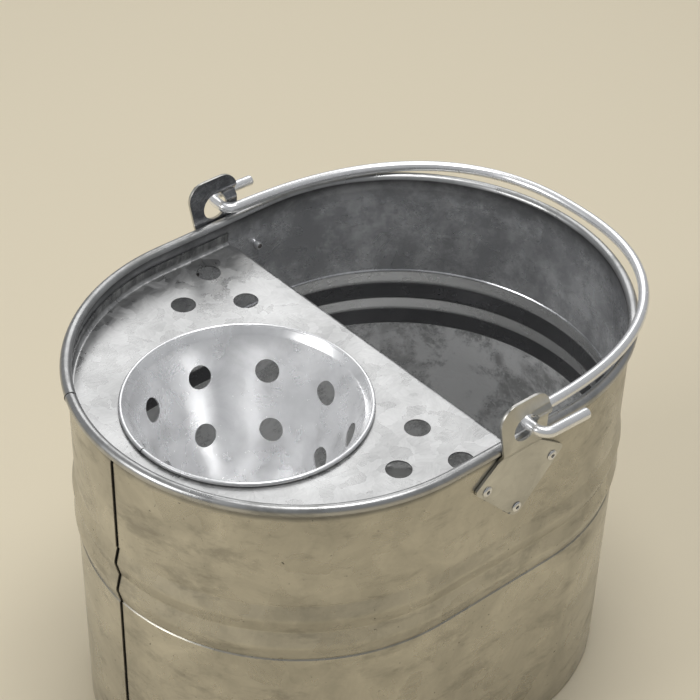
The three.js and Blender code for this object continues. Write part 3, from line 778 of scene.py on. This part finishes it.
# %% Helpers for geometry trees
class Tree:
    """A Geometry Nodes tree with named inputs, in a few short calls."""

    def __init__(self, name):
        self.group = bpy.data.node_groups.new(name, "GeometryNodeTree")
        self.group.interface.new_socket("Geometry", in_out="INPUT", socket_type="NodeSocketGeometry")
        self.group.interface.new_socket("Geometry", in_out="OUTPUT", socket_type="NodeSocketGeometry")
        self.values = {}
        self.given = self.group.nodes.new("NodeGroupInput")
        self.result = self.group.nodes.new("NodeGroupOutput")

    def size(self, name, value, kind="NodeSocketFloat"):
        """Add a named input; its value is set on the modifier later."""
        socket = self.group.interface.new_socket(name, in_out="INPUT", socket_type=kind)
        self.values[socket.identifier] = value
        return self.given.outputs[name]

    def add(self, kind, **links):
        node = self.group.nodes.new(kind)
        for key, value in links.items():
            name = key.replace("_", " ")
            if name in node.inputs:
                self.put(node.inputs[name], value)
            else:
                setattr(node, key, value)
        return node

    def put(self, socket, value):
        if isinstance(value, bpy.types.NodeSocket):
            self.group.links.new(value, socket)
        else:
            socket.default_value = value

    def math(self, operation, a, b=0.0):
        node = self.group.nodes.new("ShaderNodeMath")
        node.operation = operation
        self.put(node.inputs[0], a)
        self.put(node.inputs[1], b)
        return node.outputs[0]

    def xyz(self, x=0.0, y=0.0, z=0.0):
        return self.add("ShaderNodeCombineXYZ", X=x, Y=y, Z=z).outputs[0]

    def gather(self, parts):
        node = self.group.nodes.new("GeometryNodeJoinGeometry")
        for part in parts:
            self.group.links.new(part, node.inputs[0])
        return node.outputs[0]

    def close(self, geometry, material):
        """Realize Instances and Set Material come last."""
        real = self.add("GeometryNodeRealizeInstances", Geometry=geometry)
        coat = self.add("GeometryNodeSetMaterial", Geometry=real.outputs[0], Material=material)
        self.group.links.new(coat.outputs[0], self.result.inputs[0])

    def use_on(self, piece):
        modifier = piece.modifiers.new(self.group.name, "NODES")
        modifier.node_group = self.group
        for identifier, value in self.values.items():
            modifier[identifier] = value
        return modifier


# %% The deck's punches
def punch(tree, radius, length, sides):
    made = tree.add("GeometryNodeMeshCylinder", Vertices=sides, Radius=radius, Depth=length)
    return made.outputs["Mesh"]


def deck_punch_tree(material, hole_places, hole_radius, seat_place, seat_radius):
    tree = Tree("punch_the_deck")
    radius = tree.size("Hole radius", hole_radius * MM)
    seat = tree.size("Seat radius", seat_radius * MM)
    length = tree.size("Punch length", 8 * MM)
    cutters = []
    one_hole = punch(tree, radius, length, 64)
    for i, (x, y) in enumerate(hole_places, 1):
        along = tree.size(f"Hole {i} along", (middle_x + x) * MM)
        across = tree.size(f"Hole {i} across", y * MM)
        for side in (1, -1):
            spot = tree.xyz(along, tree.math("MULTIPLY", across, side), deck_top_z * MM)
            cutters.append(tree.add("GeometryNodeTransform", Geometry=one_hole,
                                    Translation=spot).outputs[0])
    spot = tree.xyz(tree.size("Seat along", (middle_x + seat_place) * MM), 0.0, deck_top_z * MM)
    cutters.append(tree.add("GeometryNodeTransform", Geometry=punch(tree, seat, length, 144),
                            Translation=spot).outputs[0])
    cut = tree.add("GeometryNodeMeshBoolean", operation="DIFFERENCE")
    tree.group.links.new(tree.given.outputs["Geometry"], cut.inputs[0])
    tree.group.links.new(tree.gather(cutters), cut.inputs[1])
    tree.close(cut.outputs[0], material)
    return tree


drain_holes = [(-20.5, 81.2), (-54.0, 102.4), (-20.5, 119.6)]
deck_sheet = 1.0
deck_tree = deck_punch_tree(deck_zinc, drain_holes, 8.0, cone_x, cone_rim - 2 * cone_curl + sheet_gap)
print("deck tree inputs:", len(deck_tree.values))

# %% [markdown]
# ## The sieve plate
# The plate over the back half is one blank: a flat, a flange turned up all round that
# holds it in the wall, and a lip turned down along the free edge so that nobody is cut
# and the plate doesn't sag. It is built as a single surface from its own outline, then
# thickened and punched.

# %% Build the deck's surface
deck_edge, deck_lip, bend = 13.0, 9.0, 2.5
flange_wall = wall_line(deck_top_z) - wall_sheet / 2 - 0.5 - deck_sheet
flange_top = rim_z - 7 - sheet_gap


def back_half(front_x, steps=72):
    """Places round the back half, from the far side's front to the near side's."""
    run = [(x, math.pi / 2) for x in (front_x, (front_x - half_straight) / 2, -half_straight)]
    run += [(-half_straight, math.pi / 2 + math.pi * i / steps) for i in range(1, steps)]
    run += [(x, 1.5 * math.pi) for x in (-half_straight, (front_x - half_straight) / 2, front_x)]
    return run


def build_deck():
    flange = [Vector((flange_wall, flange_top))]
    flange += arc(flange_wall - bend + deck_sheet, deck_top_z + bend, bend, 0, -90, 8)
    run = back_half(deck_edge - bend - deck_sheet)
    points, faces = [], []
    count = len(flange)
    for centre, angle in run:
        for p in flange:
            radius = end_radius + p.x
            points.append((middle_x + centre + radius * math.cos(angle), radius * math.sin(angle),
                           p.y))
    for s in range(len(run) - 1):
        for p in range(count - 1):
            a, b = s * count + p, (s + 1) * count + p
            faces.append((a, b, b + 1, a + 1))
    faces.append([s * count + count - 1 for s in range(len(run))])
    front = deck_edge - bend - deck_sheet
    lip = arc(front, deck_top_z - bend - deck_sheet, bend + deck_sheet, 90, 0, 8)
    lip.append(Vector((front + bend + deck_sheet, deck_top_z - deck_lip)))
    reach = end_radius + flange_wall - bend + deck_sheet
    ends = [count - 1, (len(run) - 1) * count + count - 1]
    for p in lip[1:]:
        for side in (1, -1):
            points.append((middle_x + p.x, side * reach, p.y))
            ends.append(len(points) - 1)
    for i in range(0, len(ends) - 2, 2):
        faces.append((ends[i], ends[i + 2], ends[i + 3], ends[i + 1]))
    deck = make_piece("sieve_plate", points, faces, 30)
    weld(deck)
    return deck


deck = build_deck()
upward_faces = sum(1 for p in deck.data.polygons if p.normal.z > 0.9 and p.area > 0.001)
if not upward_faces:
    deck.data.flip_normals()
thickness = deck.modifiers.new("sheet", "SOLIDIFY")
thickness.thickness = deck_sheet * MM
thickness.offset = -1
thickness.use_even_offset = True
deck_tree.use_on(deck)
settle(deck, 30)
weld(deck, 0.000002, outward=False)
finish_mesh(deck.data, 30)
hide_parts("wringer_deck")
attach(deck, "bucket")
report(deck)

# %% [markdown]
# ## The wringer cone
# A deep-drawn cone: a steep straight wall, a small flat floor with a few drain holes,
# and a curled rim that sits on the plate. A turned profile gives the body, and a tree
# punches the rows: each row has its own count, depth and starting angle, and every
# punch is tipped to strike the sloping wall square.

# %% Turn the cone's body
cone_sheet, cone_slope, cone_depth, cone_flare = 0.8, 0.4, 116.0, 3.3
flare_z = deck_top_z - cone_flare / 2
curl_radius = cone_curl - cone_sheet / 2
curl_x = cone_rim - cone_curl
curl_z = deck_top_z + sheet_gap + cone_curl


def cone_radius(z):
    return curl_x - curl_radius - cone_flare - cone_slope * (flare_z - z)


def turn_cone(steps=160):
    bottom = deck_top_z - cone_depth
    floor_edge = cone_radius(bottom)
    path = [Vector((0, bottom)), Vector((floor_edge * 0.4, bottom)),
            Vector((floor_edge - 7.5, bottom))]
    start, control = Vector((floor_edge - 7.5, bottom)), Vector((floor_edge - 0.2, bottom))
    end = Vector((cone_radius(bottom + 7), bottom + 7))
    for i in range(1, 9):
        t = i / 8
        path.append(start * (1 - t) ** 2 + control * 2 * t * (1 - t) + end * t * t)
    for i in range(1, 12):
        z = bottom + 7 + (flare_z - 1 - bottom - 7) * i / 11
        path.append(Vector((cone_radius(z), z)))
    start, control = path[-1], Vector((cone_radius(flare_z), flare_z))
    end = Vector((curl_x - curl_radius, curl_z))
    for i in range(1, 8):
        t = i / 8
        path.append(start * (1 - t) ** 2 + control * 2 * t * (1 - t) + end * t * t)
    path += arc(curl_x, curl_z, curl_radius, 180, -60, 18)
    outline = sheet_outline(path, cone_sheet)
    outline[0].x = outline[-1].x = 0
    if area_of(outline) < 0:
        outline = outline[::-1]
    points = []
    for i in range(steps):
        angle = 2 * math.pi * (i + 0.37) / steps
        points += [(middle_x + cone_x + p.x * math.cos(angle), p.x * math.sin(angle), p.y)
                   for p in outline]
    cone = make_piece("wringer_cone_sheet", points, sweep_faces(steps, len(outline)), 32)
    weld(cone)
    return cone


cone = turn_cone()
report(cone)

# %% Punch the cone
cone_rows = [(23.5, 9, 119.8), (58.5, 7, 84.7), (98.5, 5, 95.0)]


def on_ring(tree, axis, radius, angle, height):
    along = tree.math("MULTIPLY", radius, tree.math("COSINE", angle))
    across = tree.math("MULTIPLY", radius, tree.math("SINE", angle))
    return tree.xyz(tree.math("ADD", axis, along), across, height)


def cone_punch_tree(material):
    tree = Tree("punch_the_cone")
    radius = tree.size("Hole radius", 7.7 * MM)
    length = tree.size("Punch length", 14 * MM)
    slope = tree.size("Wall slope", cone_slope)
    axis = tree.size("Axis along", (middle_x + cone_x) * MM)
    lean = tree.math("ADD", tree.math("ARCTANGENT", slope), math.pi / 2)
    cutters = []
    hole = punch(tree, radius, length, 48)
    for i, (depth, count, first) in enumerate(cone_rows, 1):
        number = tree.size(f"Row {i} count", count, "NodeSocketInt")
        height = tree.size(f"Row {i} height", (deck_top_z - depth) * MM)
        ring = tree.size(f"Row {i} radius", cone_radius(deck_top_z - depth) * MM)
        turn = tree.size(f"Row {i} first angle", math.radians(first))
        index = tree.add("GeometryNodeInputIndex").outputs[0]
        step = tree.math("DIVIDE", -2 * math.pi, number)
        angle = tree.math("ADD", tree.math("MULTIPLY", index, step), turn)
        place = on_ring(tree, axis, ring, angle, height)
        spots = tree.add("GeometryNodePoints", Count=number, Position=place)
        turned = tree.add("GeometryNodeInstanceOnPoints", Points=spots.outputs[0], Instance=hole,
                          Rotation=tree.xyz(0.0, lean, angle))
        cutters.append(turned.outputs[0])
    floor_radius = tree.size("Floor hole radius", 4 * MM)
    floor_circle = tree.size("Floor hole circle", 13 * MM)
    index = tree.add("GeometryNodeInputIndex").outputs[0]
    angle = tree.math("MULTIPLY", index, math.pi / 2)
    place = on_ring(tree, axis, floor_circle, angle, (deck_top_z - cone_depth) * MM)
    spots = tree.add("GeometryNodePoints", Count=4, Position=place)
    cutters.append(tree.add("GeometryNodeInstanceOnPoints", Points=spots.outputs[0],
                            Instance=punch(tree, floor_radius, length, 32)).outputs[0])
    ready = tree.add("GeometryNodeRealizeInstances", Geometry=tree.gather(cutters)).outputs[0]
    cut = tree.add("GeometryNodeMeshBoolean", operation="DIFFERENCE")
    tree.group.links.new(tree.given.outputs["Geometry"], cut.inputs[0])
    tree.group.links.new(ready, cut.inputs[1])
    tree.close(cut.outputs[0], material)
    return tree


cone_punch_tree(cone_zinc).use_on(cone)
settle(cone, 32)
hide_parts("wringer_cone")
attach(cone, "bucket")
report(cone)

# %% [markdown]
# ## The ears
# Each ear is stamped from heavier sheet: a foot that lies on the wall under three
# rivets, a small bend that carries it out past the rolled rim, and a standing tab with
# the handle's hole and a pressed ridge that stiffens it. The flat blank is filled with
# a fine net of points, each point is moved to where the press would push it, and the
# sheet then gets its thickness and softened edges.

# %% Blank of an ear
ear_sheet = 1.8
ear_back = sheet_gap
tab_back = rim_overhang + 0.4
ear_centre, rivet_spread, rivet_upper, rivet_lower, margin = 7.2, 26.2, 26.6, 52.9, 4.4
ear_hole = Vector((4.2, 12.7))
ear_hole_radius = 9.2
tab_left, tab_right, tab_top = -17.5, 22.5, 33.7
ridge_z = ear_hole.y + ear_hole_radius - 3.6


def rounded(corners, steps=8):
    points = []
    for i, (x, y, radius) in enumerate(corners):
        corner = Vector((x, y))
        if not radius:
            points.append(corner)
            continue
        before = (Vector(corners[i - 1][:2]) - corner).normalized()
        after = (Vector(corners[(i + 1) % len(corners)][:2]) - corner).normalized()
        half = math.acos(max(-1, min(1, before.dot(after)))) / 2
        centre = corner + (before + after).normalized() * (radius / math.sin(half))
        arm = corner + before * (radius / math.tan(half)) - centre
        cross = after.x * before.y - after.y * before.x
        sweep = (math.pi - 2 * half) * (1 if cross > 0 else -1)
        for step in range(steps + 1):
            a = sweep * step / steps
            points.append(centre + Vector((arm.x * math.cos(a) - arm.y * math.sin(a),
                                           arm.x * math.sin(a) + arm.y * math.cos(a))))
    return points


def ear_outline():
    neck = -8
    reach = rivet_spread + 2.3 * margin
    shoulder = -rivet_upper + 0.7 * margin
    return rounded([
        (tab_left + 7, neck, 0), (tab_left - 1, tab_top, 11), (tab_right, tab_top, 13),
        (tab_right - 1, neck, 0), (ear_centre + reach, shoulder, 3),
        (ear_centre, -rivet_lower - 1.9 * margin, 6), (ear_centre - reach, shoulder, 3)])


def spread(points, step):
    """The same closed line with a point at least every step."""
    dense = []
    for a, b in zip(points, points[1:] + points[:1]):
        parts = max(1, round((b - a).length / step))
        dense += [a + (b - a) * (i / parts) for i in range(parts)]
    return dense


print(len(ear_outline()), "points round an ear")

# %% Press an ear
def ease(x):
    x = max(0.0, min(1.0, x))
    return x * x * (3 - 2 * x)


def pressed(x, z):
    """How far out the ear's middle surface is at a point of the blank."""
    base = ear_back + ear_sheet / 2
    out = base + (tab_back - ear_back) * ease((z + 9.5) / 8.5)
    along = ease((x - ear_hole.x) / 4)
    across = abs(z - ridge_z) / 4.4
    if across < 1 and z > 0:
        out += 2.5 * along * math.cos(across * math.pi / 2) ** 1.3
    return out


def net_of(outline, holes, step):
    """Triangles that fill an outline with holes, with inner points on a net."""
    points, edges = [], []
    for ring in [outline] + holes:
        first = len(points)
        points += ring
        edges += [(first + i, first + (i + 1) % len(ring)) for i in range(len(ring))]
    edge_points = list(points)
    low = [min(p[i] for p in outline) for i in range(2)]
    high = [max(p[i] for p in outline) for i in range(2)]
    rows = int((high[1] - low[1]) / (step * 0.87))
    for row in range(rows + 1):
        z = low[1] + row * step * 0.87
        x = low[0] + (step / 2 if row % 2 else 0)
        while x < high[0]:
            spot = Vector((x, z))
            if is_inside(spot, outline) and not any(is_inside(spot, h) for h in holes):
                if min((spot - p).length_squared for p in edge_points) > (0.55 * step) ** 2:
                    points.append(spot)
            x += step
    result = delaunay_2d_cdt(points, edges, [], 0, 1e-6)
    faces = []
    for face in result[2]:
        centre = sum((result[0][i] for i in face), Vector((0, 0))) / len(face)
        if is_inside(centre, outline) and not any(is_inside(centre, h) for h in holes):
            faces.append(tuple(face))
    return result[0], faces


def is_inside(spot, ring):
    inside = False
    for a, b in zip(ring, ring[1:] + ring[:1]):
        if (a.y > spot.y) != (b.y > spot.y):
            if spot.x < (b.x - a.x) * (spot.y - a.y) / (b.y - a.y) + a.x:
                inside = not inside
    return inside


def place_on_wall(x, y, z, side):
    """From an ear's own place to the bucket: it leans in with the wall."""
    c, s = math.cos(lean_angle), math.sin(lean_angle)
    out = y * c + z * s
    up = z * c - y * s
    return (middle_x + x, side * (end_radius + out), rim_z + up)


def press_ear(name, side):
    outline = spread(ear_outline(), 1.3)
    hole = [ear_hole + Vector((math.cos(a), math.sin(a))) * ear_hole_radius
            for a in (2 * math.pi * i / 48 for i in range(48))]
    flat, faces = net_of(outline, [hole], 1.5)
    points = [place_on_wall(p.x, pressed(p.x, p.y), p.y, side) for p in flat]
    piece = make_piece(name, points, faces, 60)
    middle = sum((p.normal.y * side * p.area for p in piece.data.polygons))
    if middle < 0:
        piece.data.flip_normals()
    sheet = piece.modifiers.new("sheet", "SOLIDIFY")
    sheet.thickness = ear_sheet * MM
    sheet.offset = 0
    edge = piece.modifiers.new("edge", "BEVEL")
    edge.width = 0.35 * MM
    edge.segments = 2
    edge.limit_method = "ANGLE"
    edge.angle_limit = math.radians(50)
    settle(piece, 35)
    piece.data.materials.clear()
    piece.data.materials.append(ear_zinc)
    outward = place_on_wall(0, 1, 0, side)[1] - place_on_wall(0, 0, 0, side)[1]
    layer = piece.data.attributes.new("inner", "FLOAT", "FACE")
    layer.data.foreach_set("value", [float(f.normal.y * outward < -0.5) for f in piece.data.polygons])
    return piece


for name, node, side in (("ear_far", "ear_left", 1), ("ear_near", "ear_right", -1)):
    ear = press_ear(name, side)
    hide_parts(node)
    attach(ear, "bucket")
    report(ear)

# %% [markdown]
# ## Rivets
# Blind rivets hold the ears: outside a low domed head with the broken stem down in its
# middle, inside the bulb that the stem drew tight. All six are alike, so one rivet is
# turned and a tree sets it at the three places of each ear, leaning with the wall. The
# stems are the same thing again in darker steel.

# %% Turn one rivet and one stem
def turn_about_y(name, profile, steps):
    """A turned piece along +Y from (radius, y) pairs."""
    ring = [Vector(p) for p in profile]
    if area_of(ring) < 0:
        ring = ring[::-1]
    points = []
    for i in range(steps):
        angle = 2 * math.pi * i / steps
        points += [(p.x * math.sin(angle), p.y, p.x * math.cos(angle)) for p in ring]
    piece = make_piece(name, points, sweep_faces(steps, len(ring)), 40)
    weld(piece)
    return piece


head_base = ear_back + ear_sheet + sheet_gap / 2
inside_face = -wall_sheet - sheet_gap / 2
rivet_profile = [
    (1.25, head_base + 0.75), (1.25, inside_face - 2.4), (1.75, inside_face - 2.8),
    (1.75, inside_face - 4.0), (2.1, inside_face - 4.0), (2.35, inside_face - 3.85),
    (2.5, inside_face - 3.2), (2.6, inside_face - 2.0), (2.4, inside_face - 0.8),
    (2.0, inside_face), (2.0, head_base), (3.35, head_base), (3.5, head_base + 0.15),
    (3.4, head_base + 0.4), (2.95, head_base + 0.75), (2.3, head_base + 0.98),
    (1.8, head_base + 1.1), (1.5, head_base + 1.06), (1.3, head_base + 0.93)]
stem_profile = [
    (0, head_base + 0.25), (0, inside_face - 4.7), (0.6, inside_face - 4.66),
    (1.2, inside_face - 4.4), (1.5, inside_face - 4.0), (1.6, inside_face - 3.6),
    (1.6, inside_face - 2.95), (1.1, inside_face - 2.6), (1.1, head_base + 0.1),
    (0.7, head_base + 0.3)]
rivets = turn_about_y("rivets", rivet_profile, 40)
stems = turn_about_y("rivet_stems", stem_profile, 28)

# %% Set them on both ears
def rivet_tree(name, material):
    tree = Tree(name)
    spread_x = tree.size("Half spread", rivet_spread * MM)
    upper = tree.size("Upper drop", rivet_upper * MM)
    lower = tree.size("Lower drop", rivet_lower * MM)
    centre = tree.size("Centre along", (middle_x + ear_centre) * MM)
    half_width = tree.size("Half width of the wall", end_radius * MM)
    rim = tree.size("Rim height", rim_z * MM)
    lean = tree.size("Wall lean", -lean_angle)
    copies = []
    for across, drop in ((-1, upper), (1, upper), (0, lower)):
        spot = tree.xyz(tree.math("MULTIPLY", spread_x, float(across)), 0.0,
                        tree.math("MULTIPLY", drop, -1.0))
        copies.append(tree.add("GeometryNodeTransform", Geometry=tree.given.outputs["Geometry"],
                               Translation=spot).outputs[0])
    three = tree.gather(copies)
    sides = []
    for turn in (0.0, math.pi):
        leaned = tree.add("GeometryNodeTransform", Geometry=three, Rotation=tree.xyz(lean, 0.0, 0.0),
                          Translation=tree.xyz(0.0, half_width, 0.0)).outputs[0]
        sides.append(tree.add("GeometryNodeTransform", Geometry=leaned, Rotation=(0.0, 0.0, turn),
                              Translation=tree.xyz(centre, 0.0, rim)).outputs[0])
    tree.close(tree.gather(sides), material)
    return tree


for piece, tree_name, material, slot_name, stem in (
        (rivets, "set_rivets", rivet_metal, "rivet_aluminium", "rivet"),
        (stems, "set_stems", mandrel_metal, "mandrel_steel", "mandrel")):
    rivet_tree(tree_name, material).use_on(piece)
    settle(piece, 40)
    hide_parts(*[f"{stem}_{side}_{i}" for side in ("left", "right") for i in (1, 2, 3)])
    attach(piece, "bucket")
    report(piece)

# %% [markdown]
# ## The handle
# A single length of zinc-plated wire, bent to a long loop that lies round the open
# half, with a hook at each end that passes out through an ear. The wire follows a path,
# so the path is written as points by its rule and a tree sweeps a round section along
# it. Near the cut ends the section shrinks a little, which softens the edge.

# %% The handle's path
bail_radius, bail_pivot = 3.5, Vector((8.5, 11.5))
bail_half_width, bail_reach, bail_straight, roundness = 136.1, 193.5, 16.0, 2.35
hook_out, hook_length, hook_bend, droop = 20.0, 35.0, 7.5, math.radians(2.0)


def bail_half():
    hook_y = bail_half_width + hook_out
    line = [Vector((hook_length - d, hook_y)) for d in (0, 0.12, 0.35, 0.8, 1.6, 8, 18)]
    line += arc(hook_bend, hook_y - hook_bend, hook_bend, 90, 180, 12)
    line += arc(hook_bend, bail_half_width + hook_bend, hook_bend, 180, 270, 12)
    end_x = bail_straight - bail_pivot.x
    length = bail_reach - bail_straight
    for i in range(65):
        angle = math.pi / 2 * (1 - i / 64)
        line.append(Vector((end_x + length * max(math.cos(angle), 0) ** (2 / roundness),
                            bail_half_width * max(math.sin(angle), 0) ** (2 / roundness))))
    return line


def wire_path():
    half = bail_half()
    flat = half + [Vector((p.x, -p.y)) for p in half[-2::-1]]
    points = [(middle_x + bail_pivot.x + p.x * math.cos(droop), p.y,
               rim_z + bail_pivot.y - p.x * math.sin(droop)) for p in flat]
    shrink = [0.80, 0.90, 0.96, 0.99, 1.0]
    thick = shrink + [1.0] * (len(points) - 2 * len(shrink)) + shrink[::-1]
    mesh = bpy.data.meshes.new("bail_wire")
    links = [(i, i + 1) for i in range(len(points) - 1)]
    mesh.from_pydata([Vector(p) * MM for p in points], links, [])
    layer = mesh.attributes.new("thick", "FLOAT", "POINT")
    layer.data.foreach_set("value", thick)
    piece = bpy.data.objects.new("bail_wire", mesh)
    bpy.context.scene.collection.objects.link(piece)
    return piece


# %% Sweep the wire
def wire_tree(material):
    tree = Tree("sweep_the_wire")
    radius = tree.size("Wire radius", bail_radius * MM)
    sides = tree.size("Sides", 28, "NodeSocketInt")
    line = tree.add("GeometryNodeMeshToCurve", Mesh=tree.given.outputs["Geometry"]).outputs[0]
    thick = tree.add("GeometryNodeInputNamedAttribute", Name="thick").outputs["Attribute"]
    line = tree.add("GeometryNodeSetCurveRadius", Curve=line, Radius=thick).outputs[0]
    section = tree.add("GeometryNodeCurvePrimitiveCircle", Resolution=sides, Radius=radius)
    swept = tree.add("GeometryNodeCurveToMesh", Curve=line, Profile_Curve=section.outputs[0])
    if "Scale" in swept.inputs:
        tree.put(swept.inputs["Scale"], thick)
    swept.inputs["Fill Caps"].default_value = True
    tree.close(swept.outputs[0], material)
    return tree


bail = wire_path()
wire_tree(bail_zinc).use_on(bail)
settle(bail, 50)
weld(bail, 0.000001)
finish_mesh(bail.data, 50)
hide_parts("bail_handle")
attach(bail, "bail")
report(bail)

# %% [markdown]
# ## The size
# The fine pieces must fill the same box as the measured solids, so the sizes of both
# boxes are printed side by side.

# %% Print the sizes of both boxes
new_low, new_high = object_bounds()
sizes = {"cad": [list(map(float, cad_low)), list(map(float, cad_high))],
         "visual": [list(map(float, new_low)), list(map(float, new_high))]}
for label, (low, high) in sizes.items():
    print(label, [round(h - l, 4) for l, h in zip(low, high)])
